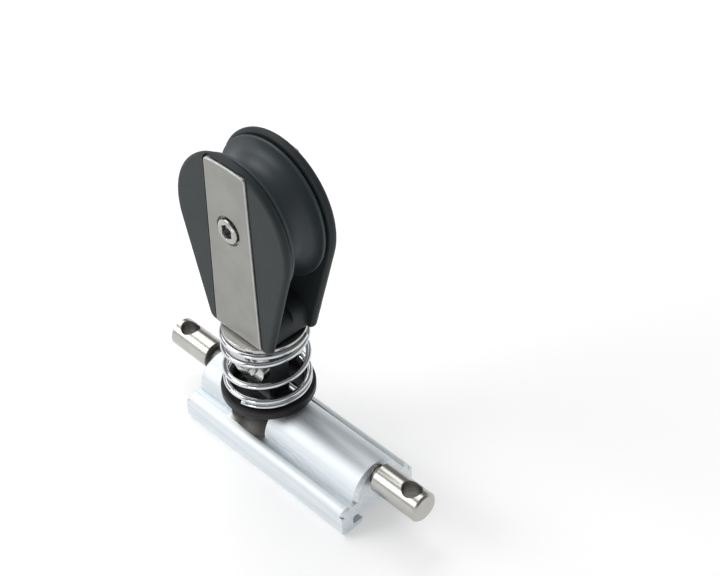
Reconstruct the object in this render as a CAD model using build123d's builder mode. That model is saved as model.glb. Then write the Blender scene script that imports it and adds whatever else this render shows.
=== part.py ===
from build123d import *
import os
from math import cos, radians, sin

# Genoa car: a slide that runs on a T-section track and carries a sheet block
# on a spring-held universal toggle. Millimetres. X runs along the track,
# Y across it, Z up. The origin is the middle of the car's underside.

# Car body
body_length = 90.0
body_width = 37.5
wing_height = 13.0
shoulder_round = 4.9
foot_round = 2.4
dome_radius = 11.8
dome_axis_height = 12.8
end_bevel = 1.4
wing_bevel_y = 11.2
wing_bevel_height = 6.9
wing_bevel_radius = 6.3
wing_bevel_depth = 2.0
wing_bevel_start = 20.0
gutter_width = 3.1
gutter_depth = 0.55

# Track slot under the body
slot_width = 25.8
slot_height = 4.2
lip_thickness = 2.4
lip_gap = 16.0
lip_tip_round = 1.9
slot_corner_round = 1.4

# Seat for the toggle, milled across the dome
seat_x = -14.7
seat_length = 19.6

# Eye pins at both ends
eye_pin_height = 20.2
eye_pin_radius = 6.1
eye_pin_reach = 22.0
eye_pin_chamfer = 0.8
eye_neck_length = 2.2
eye_neck_radius = 3.5
eye_thread_radius = 4.0
eye_thread_length = 10.0
eye_hole_radius = 3.8
eye_hole_from_tip = 6.4
eye_hole_chamfer = 0.35

# Universal toggle
pivot_pin_grip = 7.5
pivot_pin_gap = 1.5
pin_bore_clearance = 0.05
bush_wall = 1.0
toggle_eye_radius = 7.0
toggle_end_clearance = 0.3
toggle_neck_width = 16.0
toggle_neck_thickness = 10.0
fork_pin_height = 45.6
fork_pin_radius = 4.0
toggle_head_radius = 8.0
toggle_head_thickness = 14.0
fork_side_clearance = 0.2
fork_thickness = 3.0
fork_width = 20.0
fork_head_gap = 0.6
fork_bend_radius = 3.2
fork_pin_overhang = 1.8
circlip_thickness = 0.8
circlip_radius = 6.2
circlip_groove_depth = 0.6
circlip_gap_angle = 70.0

# Spring and its seats
spring_outer_radius = 17.4
wire_diameter = 2.3
spring_end_clearance = 0.05
spring_start_angle = 281.0
closed_turns_below = 1.45
open_turns = 1.85
closed_turns_above = 1.0
ring_side_inset = 0.05
ring_inner_radius = 14.0
ring_height = 3.9
ring_edge_round = 0.8
ring_lip_height = 1.6
ring_saddle_depth = 0.8
ring_saddle_width = 2.5
ring_floor_thickness = 1.5
ring_floor_opening = 14.8
top_plate_radius = 16.4
top_plate_thickness = 1.5

# Sheave block
sheave_axle_height = 108.8
sheave_radius = 27.6
sheave_thickness = 16.4
groove_root_radius = 20.6
flange_rim = 1.4
sheave_side_clearance = 0.1
washer_thickness = 0.6
washer_radius = 13.0
cheek_thickness = 3.4
cheek_radius = 29.3
cheek_foot_width = 34.8
cheek_foot_round = 3.6
cheek_rim_round = 1.7
cheek_inner_round = 1.4
strap_thickness = 2.0
strap_inset = 1.4
strap_gap = 0.8
strap_edge_round = 0.6
strap_foot_width = 24.8
strap_top_width = 21.3
strap_top_rise = 27.3
strap_shoulder_drop = 0.9
strap_corner_round = 1.6
strap_bend_radius = 2.4
near_web_height = 11.0
far_web_height = 13.5
web_seam_y = 2.0
web_end_round = 5.6
web_width = 29.0
web_foot_round = 2.4
cheek_screw_radius = 1.5
cheek_screw_offset = 9.6
cheek_screw_height = 4.6

# Axle of the sheave
axle_radius = 6.0
axle_bore_radius = 4.0
bush_outer_radius = 9.5
axle_screw_head_radius = 5.75
axle_screw_head_thickness = 0.8
axle_screw_length = 9.0
screw_recess_radius = 6.0
screw_recess_depth = 1.5
screw_socket_depth = 2.6
socket_core_radius = 2.45
socket_lobe_radius = 0.7

# Screw that clamps the block to the fork
head_screw_radius = 3.0
head_screw_cone_radius = 5.6
head_nut_flats = 10.0
head_nut_height = 5.0
hole_clearance = 0.15

# Places worked out from the sizes above
pivot_pin_radius = eye_thread_radius - pin_bore_clearance
half_length = body_length / 2
half_width = body_width / 2
dome_top = dome_axis_height + dome_radius
seat_floor = wing_height - gutter_depth
seat_start = seat_x - seat_length / 2
seat_end = seat_x + seat_length / 2
pivot_pin_start = -half_length + eye_thread_length + pivot_pin_gap
pivot_pin_end = seat_end + pivot_pin_grip
ring_outer_radius = half_width - ring_side_inset
ring_bottom = dome_top
ring_top = ring_bottom + ring_height
spring_radius = spring_outer_radius - wire_diameter / 2
fork_inner_y = toggle_head_thickness / 2 + fork_side_clearance
fork_outer_y = fork_inner_y + fork_thickness
fork_bridge_bottom = fork_pin_height + toggle_head_radius + fork_head_gap
top_plate_bottom = fork_bridge_bottom + fork_thickness
strap_bottom = top_plate_bottom + top_plate_thickness
strap_floor = strap_bottom + strap_thickness
cheek_inner_y = sheave_thickness / 2 + sheave_side_clearance + washer_thickness
cheek_outer_y = cheek_inner_y + cheek_thickness
strap_inner_y = cheek_outer_y - strap_inset
strap_outer_y = strap_inner_y + strap_thickness

near = -1
far = 1


def cross_plane(x, height, facing=1):
    """Plane square to the track at x, with its origin at that height."""
    return Plane(origin=(x, 0, height), x_dir=(0, 1, 0), z_dir=(facing, 0, 0))


def block_plane(side, y, height=0.0):
    """Upright plane along the track at distance y on one side, facing outwards."""
    return Plane(origin=(seat_x, side * y, height), x_dir=(-side, 0, 0), z_dir=(0, side, 0))


def axle_profile_plane(height):
    """Plane through the toggle's centre: local x runs across the track, local y is up."""
    return Plane(origin=(seat_x, 0, height), x_dir=(0, 1, 0), z_dir=(1, 0, 0))


def finish(builder, name):
    """Label a finished piece and write it."""
    builder.part.label = name
    export_step(builder.part, f"parts/{name}.step")


os.makedirs("parts", exist_ok=True)

# The body is an extrusion: two wings, a domed spine and the track slot
with BuildPart() as car_body:
    with BuildSketch(cross_plane(-half_length, 0)) as wings:
        with Locations((0, wing_height / 2)):
            Rectangle(body_width, wing_height)
        fillet(wings.vertices().group_by(Axis.Y)[-1], shoulder_round)
        fillet(wings.vertices().group_by(Axis.Y)[0], foot_round)
        for side in (near, far):
            foot = side * dome_radius
            with BuildLine():
                Polyline(
                    (foot * 0.8, wing_height + gutter_depth),
                    (foot * 0.8, seat_floor),
                    (foot + side * (gutter_width - gutter_depth), seat_floor),
                    (foot + side * gutter_width, wing_height),
                    (foot + side * gutter_width, wing_height + gutter_depth),
                    close=True,
                )
            make_face(mode=Mode.SUBTRACT)
    extrude(amount=body_length)
    # Coned bevel round each shoulder at both ends, running out into the wing's top
    for side in (near, far):
        bevel_axis = Axis((0, side * wing_bevel_y, wing_bevel_height), (side, 0, 0))
        for end in (-1, 1):
            rise = radians(wing_bevel_start)
            bevel_plane = Plane(
                origin=(end * half_length, side * wing_bevel_y, wing_bevel_height),
                x_dir=(end, 0, 0),
                z_dir=(0, -end * sin(rise), end * side * cos(rise)),
            )
            with BuildSketch(bevel_plane):
                with BuildLine():
                    Polyline(
                        (wing_bevel_depth, wing_bevel_radius - wing_bevel_depth),
                        (wing_bevel_depth, wing_bevel_radius + wing_bevel_depth),
                        (-wing_bevel_depth, wing_bevel_radius + wing_bevel_depth),
                        close=True,
                    )
                make_face()
            revolve(axis=bevel_axis, revolution_arc=90 - wing_bevel_start, mode=Mode.SUBTRACT)
    # Spine with bevelled ends
    with BuildPart(mode=Mode.PRIVATE) as spine:
        with BuildSketch(cross_plane(-half_length, dome_axis_height)):
            Circle(dome_radius)
        extrude(amount=body_length)
        chamfer(spine.edges().filter_by(GeomType.CIRCLE), end_bevel)
    add(spine.part)
    # Flat seat milled across the spine
    with BuildSketch(Plane.XY.offset(seat_floor)):
        with Locations((seat_x, 0)):
            Rectangle(seat_length, 2 * (dome_radius + gutter_width / 2))
    extrude(amount=dome_top, mode=Mode.SUBTRACT)
    # Track slot
    with BuildSketch(cross_plane(-half_length, 0)) as slot:
        with Locations((0, lip_thickness + slot_height / 2)):
            RectangleRounded(slot_width, slot_height, slot_corner_round)
        with Locations((0, lip_thickness / 2)):
            Rectangle(lip_gap, lip_thickness)
        for side in (near, far):
            tip = side * lip_gap / 2
            with BuildLine():
                Line((tip, 0), (tip, lip_tip_round))
                TangentArc((tip, lip_tip_round), (tip + side * lip_tip_round, 0), tangent=(0, -1))
                Line((tip + side * lip_tip_round, 0), (tip, 0))
            make_face()
    extrude(amount=body_length, mode=Mode.SUBTRACT)
    # Tapped bore from the rear end, through the seat, for the pivot pin
    with BuildSketch(cross_plane(-half_length, eye_pin_height)):
        Circle(eye_thread_radius)
    extrude(amount=half_length + pivot_pin_end, mode=Mode.SUBTRACT)
    # Tapped blind bore in the front end
    with BuildSketch(cross_plane(half_length, eye_pin_height, -1)):
        Circle(eye_thread_radius)
    extrude(amount=eye_thread_length + eye_neck_length, mode=Mode.SUBTRACT)
finish(car_body, "car_body")


def eye_pin(end, name):
    """Turned pin with a cross hole, screwed into one end of the body."""
    root = half_length + eye_neck_length
    tip = root + eye_pin_reach
    facing = cross_plane(end * root, eye_pin_height, end)
    with BuildPart() as pin:
        with BuildSketch(facing):
            Circle(eye_pin_radius)
        extrude(amount=eye_pin_reach)
        rims = pin.edges().filter_by(GeomType.CIRCLE).sort_by(Axis.X)
        chamfer(rims[-1 if end > 0 else 0], eye_pin_chamfer)
        chamfer(rims[0 if end > 0 else -1], eye_pin_chamfer / 2)
        with BuildSketch(facing):
            Circle(eye_neck_radius)
        extrude(amount=-eye_neck_length)
        with BuildSketch(cross_plane(end * half_length, eye_pin_height, end)):
            Circle(eye_thread_radius - pin_bore_clearance)
        extrude(amount=-eye_thread_length)
        with BuildSketch(Plane.XY.offset(eye_pin_height - 2 * eye_pin_radius)):
            with Locations((end * (tip - eye_hole_from_tip), 0)):
                Circle(eye_hole_radius)
        extrude(amount=4 * eye_pin_radius, mode=Mode.SUBTRACT)
        hole_rims = pin.edges().filter_by(GeomType.CIRCLE, reverse=True)
        hole_rims = hole_rims.filter_by(GeomType.LINE, reverse=True)
        chamfer(hole_rims, eye_hole_chamfer)
    finish(pin, name)


eye_pin(1, "front_eye_pin")
eye_pin(-1, "rear_eye_pin")

# Pin along the track that the toggle tilts on
with BuildPart() as pivot_pin:
    with BuildSketch(cross_plane(pivot_pin_start, eye_pin_height)):
        Circle(pivot_pin_radius)
    extrude(amount=pivot_pin_end - pivot_pin_start)
    chamfer(pivot_pin.edges().filter_by(GeomType.CIRCLE), 0.5)
finish(pivot_pin, "pivot_pin")

# Moulded ring that the spring stands on
with BuildPart() as spring_seat:
    with BuildSketch(Plane.XY.offset(ring_bottom)):
        with Locations((seat_x, 0)):
            Circle(ring_outer_radius)
            Circle(ring_inner_radius, mode=Mode.SUBTRACT)
    extrude(amount=ring_height)
    fillet(
        spring_seat.edges().filter_by(GeomType.CIRCLE).sort_by(SortBy.RADIUS)[-2:],
        ring_edge_round,
    )
    # Upstand that centres the spring's last turn
    with BuildSketch(Plane.XY.offset(ring_top)):
        with Locations((seat_x, 0)):
            Circle(spring_outer_radius - wire_diameter - hole_clearance)
            Circle(ring_inner_radius, mode=Mode.SUBTRACT)
    extrude(amount=ring_lip_height)
    # Rib underneath, hollowed to straddle the spine
    with BuildSketch(Plane.XY.offset(ring_bottom)):
        with Locations((seat_x, 0)):
            Circle(ring_inner_radius + ring_saddle_width)
            Circle(ring_inner_radius, mode=Mode.SUBTRACT)
    extrude(amount=-ring_saddle_depth)
    with BuildSketch(cross_plane(seat_x - ring_outer_radius, dome_axis_height)):
        Circle(dome_radius)
    extrude(amount=2 * ring_outer_radius, mode=Mode.SUBTRACT)
    # Floor inside the ring, open where the toggle stands
    with BuildSketch(Plane.XY.offset(ring_bottom)):
        with Locations((seat_x, 0)):
            Circle(ring_inner_radius)
            RectangleRounded(seat_length, ring_floor_opening, 2.0, mode=Mode.SUBTRACT)
    extrude(amount=ring_floor_thickness)
finish(spring_seat, "spring_seat")

# Forged toggle: an eye on the pivot pin, a neck, and a head for the fork pin
toggle_eye_length = seat_length - 2 * toggle_end_clearance
pivot_bore = pivot_pin_radius + bush_wall + pin_bore_clearance
fork_bore = fork_pin_radius + bush_wall + pin_bore_clearance
with BuildPart() as toggle:
    with BuildSketch(cross_plane(seat_x - toggle_eye_length / 2, eye_pin_height)):
        Circle(toggle_eye_radius)
    extrude(amount=toggle_eye_length)
    with BuildSketch(Plane.XY.offset(eye_pin_height)):
        with Locations((seat_x, 0)):
            RectangleRounded(toggle_neck_width, toggle_neck_thickness, 2.0)
    extrude(amount=fork_pin_height - eye_pin_height)
    with BuildSketch(block_plane(far, toggle_head_thickness / 2, fork_pin_height)):
        Circle(toggle_head_radius)
    extrude(amount=-toggle_head_thickness)
    with BuildSketch(cross_plane(seat_x - toggle_eye_length / 2, eye_pin_height)):
        Circle(pivot_bore)
    extrude(amount=toggle_eye_length, mode=Mode.SUBTRACT)
    with BuildSketch(block_plane(far, toggle_head_thickness / 2, fork_pin_height)):
        Circle(fork_bore)
    extrude(amount=-toggle_head_thickness, mode=Mode.SUBTRACT)
finish(toggle, "toggle")

# Plain bushes pressed into the toggle's two eyes
with BuildPart() as pivot_bush:
    with BuildSketch(cross_plane(seat_x - toggle_eye_length / 2, eye_pin_height)):
        Circle(pivot_bore)
        Circle(pivot_pin_radius + pin_bore_clearance, mode=Mode.SUBTRACT)
    extrude(amount=toggle_eye_length)
finish(pivot_bush, "pivot_bush")

with BuildPart() as fork_bush:
    with BuildSketch(block_plane(far, toggle_head_thickness / 2, fork_pin_height)):
        Circle(fork_bore)
        Circle(fork_pin_radius + pin_bore_clearance, mode=Mode.SUBTRACT)
    extrude(amount=-toggle_head_thickness)
finish(fork_bush, "fork_bush")

# Bent fork that hangs from the block and straddles the toggle's head
with BuildPart() as fork:
    with BuildSketch(axle_profile_plane(fork_pin_height)) as fork_section:
        leg_height = top_plate_bottom - fork_pin_height
        with Locations((0, (leg_height - fork_width / 2) / 2)):
            Rectangle(2 * fork_outer_y, leg_height + fork_width / 2)
        with Locations((0, (leg_height - fork_thickness - fork_width / 2) / 2)):
            Rectangle(2 * fork_inner_y, leg_height - fork_thickness + fork_width / 2, mode=Mode.SUBTRACT)
        fillet(fork_section.vertices().group_by(Axis.Y)[-1], fork_bend_radius)
    extrude(amount=fork_width / 2, both=True)
    with BuildSketch(block_plane(far, fork_outer_y, fork_pin_height)) as leg_outline:
        Circle(fork_width / 2)
        with Locations((0, leg_height / 2)):
            Rectangle(fork_width, leg_height)
    extrude(amount=-2 * fork_outer_y, mode=Mode.INTERSECT)
    with BuildSketch(block_plane(far, fork_outer_y, fork_pin_height)):
        Circle(fork_pin_radius)
    extrude(amount=-2 * fork_outer_y, mode=Mode.SUBTRACT)
    with BuildSketch(Plane.XY.offset(fork_bridge_bottom)) as screw_seat:
        with Locations((seat_x, 0)):
            Circle(head_screw_cone_radius)
    with BuildSketch(Plane.XY.offset(top_plate_bottom)):
        with Locations((seat_x, 0)):
            Circle(head_screw_radius + hole_clearance)
    loft(mode=Mode.SUBTRACT)
finish(fork, "fork")

# Pin across the track that the block rocks on, grooved for two circlips
fork_pin_end = fork_outer_y + fork_pin_overhang
groove_start = fork_outer_y + hole_clearance
with BuildPart() as fork_pin:
    with BuildSketch(block_plane(far, fork_pin_end, fork_pin_height)):
        Circle(fork_pin_radius)
    extrude(amount=-2 * fork_pin_end)
    chamfer(fork_pin.edges().filter_by(GeomType.CIRCLE), 0.4)
    for side in (near, far):
        with BuildSketch(block_plane(side, groove_start, fork_pin_height)):
            Circle(fork_pin_radius)
            Circle(fork_pin_radius - circlip_groove_depth, mode=Mode.SUBTRACT)
        extrude(amount=circlip_thickness, mode=Mode.SUBTRACT)
finish(fork_pin, "fork_pin")


def circlip(side, name):
    """Flat open ring that snaps into the groove of the fork pin."""
    with BuildPart() as clip:
        with BuildSketch(block_plane(side, groove_start, fork_pin_height)):
            Circle(circlip_radius)
            Circle(fork_pin_radius - circlip_groove_depth, mode=Mode.SUBTRACT)
            half_gap = radians(circlip_gap_angle / 2)
            mouth = 2 * circlip_radius
            with BuildLine():
                Polyline(
                    (0, 0),
                    (-mouth * sin(half_gap), -mouth * cos(half_gap)),
                    (mouth * sin(half_gap), -mouth * cos(half_gap)),
                    close=True,
                )
            make_face(mode=Mode.SUBTRACT)
        extrude(amount=circlip_thickness)
    finish(clip, name)


circlip(near, "near_circlip")
circlip(far, "far_circlip")

# Coil spring with a closed turn at each end
coil_bottom = ring_top + wire_diameter / 2 + spring_end_clearance
coil_top = top_plate_bottom - wire_diameter / 2 - spring_end_clearance
closed_pitch = wire_diameter + 2 * spring_end_clearance
closed_turns = closed_turns_below + closed_turns_above
open_pitch = (coil_top - coil_bottom - closed_turns * closed_pitch) / open_turns
coil_stages = (
    (closed_turns_below, closed_pitch),
    (open_turns, open_pitch),
    (closed_turns_above, closed_pitch),
)
with BuildPart() as stand_up_spring:
    with BuildLine() as coil:
        turned = 0.0
        height = coil_bottom
        for turns, pitch in coil_stages:
            angle = radians(spring_start_angle + turned)
            start = Plane(origin=(seat_x, 0, height), x_dir=(cos(angle), sin(angle), 0), z_dir=(0, 0, 1))
            add(start * Helix(pitch=pitch, height=turns * pitch, radius=spring_radius, mode=Mode.PRIVATE))
            turned += 360.0 * turns
            height += turns * pitch
    with BuildSketch(Plane(origin=coil.wire() @ 0, z_dir=coil.wire() % 0)):
        Circle(wire_diameter / 2)
    sweep(path=coil.wire(), is_frenet=True)
finish(stand_up_spring, "stand_up_spring")

# Steel disc between the spring and the block
with BuildPart() as spring_top_plate:
    with BuildSketch(Plane.XY.offset(top_plate_bottom)):
        with Locations((seat_x, 0)):
            Circle(top_plate_radius)
            Circle(head_screw_radius + hole_clearance, mode=Mode.SUBTRACT)
    extrude(amount=top_plate_thickness)
    fillet(spring_top_plate.edges().filter_by(GeomType.CIRCLE).sort_by(SortBy.RADIUS)[-2:], 0.4)
finish(spring_top_plate, "spring_top_plate")


def strap_outline(growth=0.0, upright_foot=False):
    """Leg of the strap, tapering upwards to a shallow arc inside the cheek's rim."""
    foot = strap_foot_width / 2 + growth
    shoulder = strap_top_width / 2 + growth
    top = sheave_axle_height + strap_top_rise + growth
    corner = top - strap_shoulder_drop
    front = [(foot, strap_bottom - growth)]
    if upright_foot:
        front.append((foot, strap_floor))
    rear = [(-x, height) for x, height in reversed(front)]
    with BuildSketch() as outline:
        with BuildLine():
            Polyline((-shoulder, corner), *rear, *front, (shoulder, corner))
            ThreePointArc((shoulder, corner), (0, top), (-shoulder, corner))
        make_face()
        fillet(outline.vertices().group_by(Axis.Y)[-1], strap_corner_round + growth)
    return outline.sketch


strap_leg = strap_outline()
strap_bed = strap_outline(strap_gap, upright_foot=True)


# One bent strap: a leg down each cheek, joined by a floor under the block
with BuildPart() as strap:
    with BuildSketch(axle_profile_plane(0)) as strap_section:
        leg_top = sheave_axle_height + strap_top_rise
        with Locations((0, (strap_bottom + leg_top) / 2)):
            Rectangle(2 * strap_outer_y, leg_top - strap_bottom)
        with Locations((0, (strap_floor + leg_top) / 2)):
            Rectangle(2 * strap_inner_y, leg_top - strap_floor, mode=Mode.SUBTRACT)
        fillet(strap_section.vertices().group_by(Axis.Y)[0], strap_bend_radius)
    extrude(amount=strap_foot_width / 2, both=True)
    # Trimmed to the leg's outline, with a rounded edge outside
    with BuildPart(mode=Mode.PRIVATE) as trim:
        with BuildSketch(block_plane(far, strap_outer_y)):
            add(strap_leg)
        extrude(amount=-2 * strap_outer_y)
        fillet(trim.faces().filter_by(Plane.XZ).edges(), strap_edge_round)
    add(trim.part, mode=Mode.INTERSECT)
    for side in (near, far):
        with BuildSketch(block_plane(side, strap_inner_y, sheave_axle_height)):
            Circle(axle_bore_radius + hole_clearance)
        extrude(amount=strap_thickness, mode=Mode.SUBTRACT)
        with BuildSketch(block_plane(side, strap_outer_y, sheave_axle_height)):
            Circle(screw_recess_radius)
        extrude(amount=-screw_recess_depth, mode=Mode.SUBTRACT)
    with BuildSketch(Plane.XY.offset(strap_bottom)):
        with Locations((seat_x, 0)):
            Circle(head_screw_radius + hole_clearance)
    extrude(amount=strap_thickness, mode=Mode.SUBTRACT)
finish(strap, "strap")


def cheek(side, web_height, web_reach, name):
    """Moulded side of the block, with its share of the web under the sheave."""
    with BuildPart() as shell:
        with BuildSketch(block_plane(side, cheek_inner_y)) as outline:
            with Locations((0, sheave_axle_height)):
                Circle(cheek_radius)
            foot = cheek_foot_width / 2 - cheek_foot_round
            with Locations((-foot, strap_bottom + cheek_foot_round), (foot, strap_bottom + cheek_foot_round)):
                Circle(cheek_foot_round)
            make_hull()
        extrude(amount=cheek_thickness)
        outer_rim = shell.faces().filter_by(Plane.XZ).sort_by(Axis.Y)[-1 if side > 0 else 0].edges()
        fillet(outer_rim, cheek_rim_round)
        inner_rim = shell.faces().filter_by(Plane.XZ).sort_by(Axis.Y)[0 if side > 0 else -1].edges()
        fillet(inner_rim, cheek_inner_round)
        # Web between the cheeks, rounded at both ends
        with BuildSketch(block_plane(side, cheek_inner_y)) as web:
            with Locations((0, strap_bottom + web_height / 2)):
                Rectangle(web_width, web_height)
            fillet(web.vertices().group_by(Axis.Y)[-1], web_end_round)
            fillet(web.vertices().group_by(Axis.Y)[0], web_foot_round)
        extrude(amount=-web_reach)
        # Bed for the strap's leg and floor
        with BuildSketch(block_plane(side, strap_inner_y)):
            add(strap_bed)
        extrude(amount=cheek_thickness, mode=Mode.SUBTRACT)
        with BuildSketch(Plane.XY.offset(strap_bottom)):
            with Locations((seat_x, 0)):
                Rectangle(strap_foot_width + 2 * strap_gap, 2 * strap_outer_y)
        extrude(amount=strap_thickness, mode=Mode.SUBTRACT)
        # Hole for the axle
        with BuildSketch(block_plane(side, cheek_inner_y, sheave_axle_height)):
            Circle(axle_radius + hole_clearance)
        extrude(amount=cheek_thickness, mode=Mode.SUBTRACT)
        # Pocket for the nut and the end of the screw that clamps the block
        with BuildSketch(Plane.XY.offset(strap_floor)):
            with Locations((seat_x, 0)):
                RegularPolygon(head_nut_flats / 2 + hole_clearance, 6, major_radius=False)
        extrude(amount=head_nut_height + hole_clearance, mode=Mode.SUBTRACT)
        # Holes for the screws that join the two cheeks
        with BuildSketch(block_plane(side, cheek_outer_y, strap_bottom + cheek_screw_height)):
            with Locations((-cheek_screw_offset, 0), (cheek_screw_offset, 0)):
                Circle(cheek_screw_radius)
        extrude(amount=-(cheek_thickness + web_reach), mode=Mode.SUBTRACT)
    finish(shell, name)


cheek(near, near_web_height, cheek_inner_y + web_seam_y, "near_cheek")
cheek(far, far_web_height, cheek_inner_y - web_seam_y, "far_cheek")


def cheek_screw(offset, name):
    """Long screw through both webs, covered by the strap."""
    with BuildPart() as screw:
        with BuildSketch(block_plane(near, strap_inner_y, strap_bottom + cheek_screw_height)):
            with Locations((offset, 0)):
                Circle(cheek_screw_radius)
        extrude(amount=-2 * strap_inner_y)
    finish(screw, name)


cheek_screw(cheek_screw_offset, "front_cheek_screw")
cheek_screw(-cheek_screw_offset, "rear_cheek_screw")

# Screw and nut that clamp fork, disc and strap together
screw_end = strap_floor + head_nut_height
with BuildPart() as head_screw:
    with BuildSketch(Plane.XY.offset(fork_bridge_bottom)):
        with Locations((seat_x, 0)):
            Circle(head_screw_cone_radius)
    with BuildSketch(Plane.XY.offset(top_plate_bottom)):
        with Locations((seat_x, 0)):
            Circle(head_screw_radius)
    loft()
    with BuildSketch(Plane.XY.offset(top_plate_bottom)):
        with Locations((seat_x, 0)):
            Circle(head_screw_radius)
    extrude(amount=screw_end - top_plate_bottom)
finish(head_screw, "head_screw")

with BuildPart() as head_nut:
    with BuildSketch(Plane.XY.offset(strap_floor)):
        with Locations((seat_x, 0)):
            RegularPolygon(head_nut_flats / 2, 6, major_radius=False)
            Circle(head_screw_radius, mode=Mode.SUBTRACT)
    extrude(amount=head_nut_height)
finish(head_nut, "head_nut")

# Hollow axle between the strap's legs
with BuildPart() as axle:
    with BuildSketch(block_plane(far, strap_inner_y, sheave_axle_height)):
        Circle(axle_radius)
        Circle(axle_bore_radius, mode=Mode.SUBTRACT)
    extrude(amount=-2 * strap_inner_y)
finish(axle, "axle")


def axle_screw(side, name):
    """Flat-headed screw with a six-lobed socket that closes one end of the axle."""
    seat_y = strap_outer_y - screw_recess_depth
    head_y = seat_y + axle_screw_head_thickness
    with BuildPart() as screw:
        with BuildSketch(block_plane(side, seat_y, sheave_axle_height)):
            Circle(axle_screw_head_radius)
        extrude(amount=axle_screw_head_thickness)
        rim = screw.faces().filter_by(Plane.XZ).sort_by(Axis.Y)[-1 if side > 0 else 0].edges()
        fillet(rim, axle_screw_head_thickness * 0.6)
        with BuildSketch(block_plane(side, seat_y, sheave_axle_height)):
            Circle(axle_bore_radius)
        extrude(amount=-axle_screw_length)
        with BuildSketch(block_plane(side, head_y, sheave_axle_height)):
            Circle(socket_core_radius)
            with PolarLocations(socket_core_radius, 6):
                Circle(socket_lobe_radius)
        extrude(amount=-screw_socket_depth, mode=Mode.SUBTRACT)
    finish(screw, name)


axle_screw(near, "near_axle_screw")
axle_screw(far, "far_axle_screw")


def thrust_washer(side, name):
    """Thin washer between the sheave and one cheek."""
    with BuildPart() as washer:
        with BuildSketch(block_plane(side, cheek_inner_y, sheave_axle_height)):
            Circle(washer_radius)
            Circle(axle_radius + hole_clearance, mode=Mode.SUBTRACT)
        extrude(amount=-washer_thickness)
    finish(washer, name)


thrust_washer(near, "near_thrust_washer")
thrust_washer(far, "far_thrust_washer")

# Sheave with a round rope groove
sheave_axis = Axis((seat_x, 0, sheave_axle_height), (0, 1, 0))
half_sheave = sheave_thickness / 2
groove_edge_y = half_sheave - flange_rim
with BuildPart() as sheave:
    with BuildSketch(axle_profile_plane(sheave_axle_height)) as sheave_section:
        with BuildLine():
            Polyline(
                (-groove_edge_y, sheave_radius),
                (-half_sheave, sheave_radius),
                (-half_sheave, bush_outer_radius),
                (half_sheave, bush_outer_radius),
                (half_sheave, sheave_radius),
                (groove_edge_y, sheave_radius),
            )
            ThreePointArc(
                (groove_edge_y, sheave_radius),
                (0, groove_root_radius),
                (-groove_edge_y, sheave_radius),
            )
        make_face()
        fillet(sheave_section.vertices().group_by(Axis.Y)[-1], 0.5)
    revolve(axis=sheave_axis)
finish(sheave, "sheave")

# Bearing bush pressed into the sheave
with BuildPart() as sheave_bush:
    with BuildSketch(block_plane(far, half_sheave, sheave_axle_height)):
        Circle(bush_outer_radius)
        Circle(axle_radius + pin_bore_clearance, mode=Mode.SUBTRACT)
    extrude(amount=-sheave_thickness)
finish(sheave_bush, "sheave_bush")
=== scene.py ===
from math import cos, pi, radians, sin

import bpy
import numpy as np
from mathutils import Matrix, Vector


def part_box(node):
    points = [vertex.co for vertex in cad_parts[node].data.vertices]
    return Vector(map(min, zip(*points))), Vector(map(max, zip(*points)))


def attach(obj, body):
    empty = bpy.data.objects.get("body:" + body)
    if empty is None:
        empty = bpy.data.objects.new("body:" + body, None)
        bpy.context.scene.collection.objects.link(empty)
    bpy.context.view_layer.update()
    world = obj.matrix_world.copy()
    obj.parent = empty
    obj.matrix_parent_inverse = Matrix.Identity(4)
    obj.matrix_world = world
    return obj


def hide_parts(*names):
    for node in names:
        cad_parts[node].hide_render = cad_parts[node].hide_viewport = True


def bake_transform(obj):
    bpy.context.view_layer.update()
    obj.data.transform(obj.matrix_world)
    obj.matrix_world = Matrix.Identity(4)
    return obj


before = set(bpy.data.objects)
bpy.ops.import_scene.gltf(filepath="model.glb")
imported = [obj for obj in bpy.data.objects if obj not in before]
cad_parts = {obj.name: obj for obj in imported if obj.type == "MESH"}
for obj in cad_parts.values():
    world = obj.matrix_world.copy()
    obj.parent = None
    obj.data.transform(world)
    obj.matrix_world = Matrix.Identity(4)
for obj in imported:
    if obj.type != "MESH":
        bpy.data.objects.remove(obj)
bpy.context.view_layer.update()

bl_info = {
    "name": "Genoa Car",
    "version": (1, 0, 0),
    "blender": (4, 5, 0),
    "location": "3D View > Sidebar > Genoa Car",
    "description": "Dresses the packed genoa car: spring, sheave, screws, finishes and a studio",
    "category": "Object",
}

MM = 0.001

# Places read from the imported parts
SPRING_LOW, SPRING_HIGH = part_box("stand_up_spring")
SHEAVE_LOW, SHEAVE_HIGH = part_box("sheave")
BLOCK_X = (SHEAVE_LOW.x + SHEAVE_HIGH.x) / 2
AXLE_HEIGHT = (SHEAVE_LOW.z + SHEAVE_HIGH.z) / 2
STRAP_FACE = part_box("strap")[1].y
PLATE_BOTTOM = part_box("spring_top_plate")[0].z

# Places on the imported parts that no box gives
SEAT_TOP = 28.5 * MM
SPRING_CUT = 41.5 * MM
EYE_HOLE_X = 62.8 * MM
EYE_HOLE_RADIUS = 3.86 * MM
PIN_SHOULDER = 47.5 * MM
SEAT_MIDDLE = 19.0 * MM
SEAT_HALF = (9.83 * MM, 15.0 * MM, 6.65 * MM)

# Margin on each side of the spring's cut, given with each half but not used
BEND_MARGIN = 1.5 * MM

# Samples on each side over which a change of the spring's pitch is eased
PITCH_EASING = 26

# Fineness of the computed surfaces, in points round or along them
SPRING_SAMPLES = 1201
WIRE_AROUND = 32
SHEAVE_AROUND = 224
GROOVE_POINTS = 49
GROOVE_TRIM = 2  # at each end, given up to the rounded lip
EDGE_POINTS = 7
SMALL_EDGE_POINTS = 5
SCREW_AROUND = 144
QUARTER_POINTS = 8
CROWN_POINTS = 7

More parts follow.
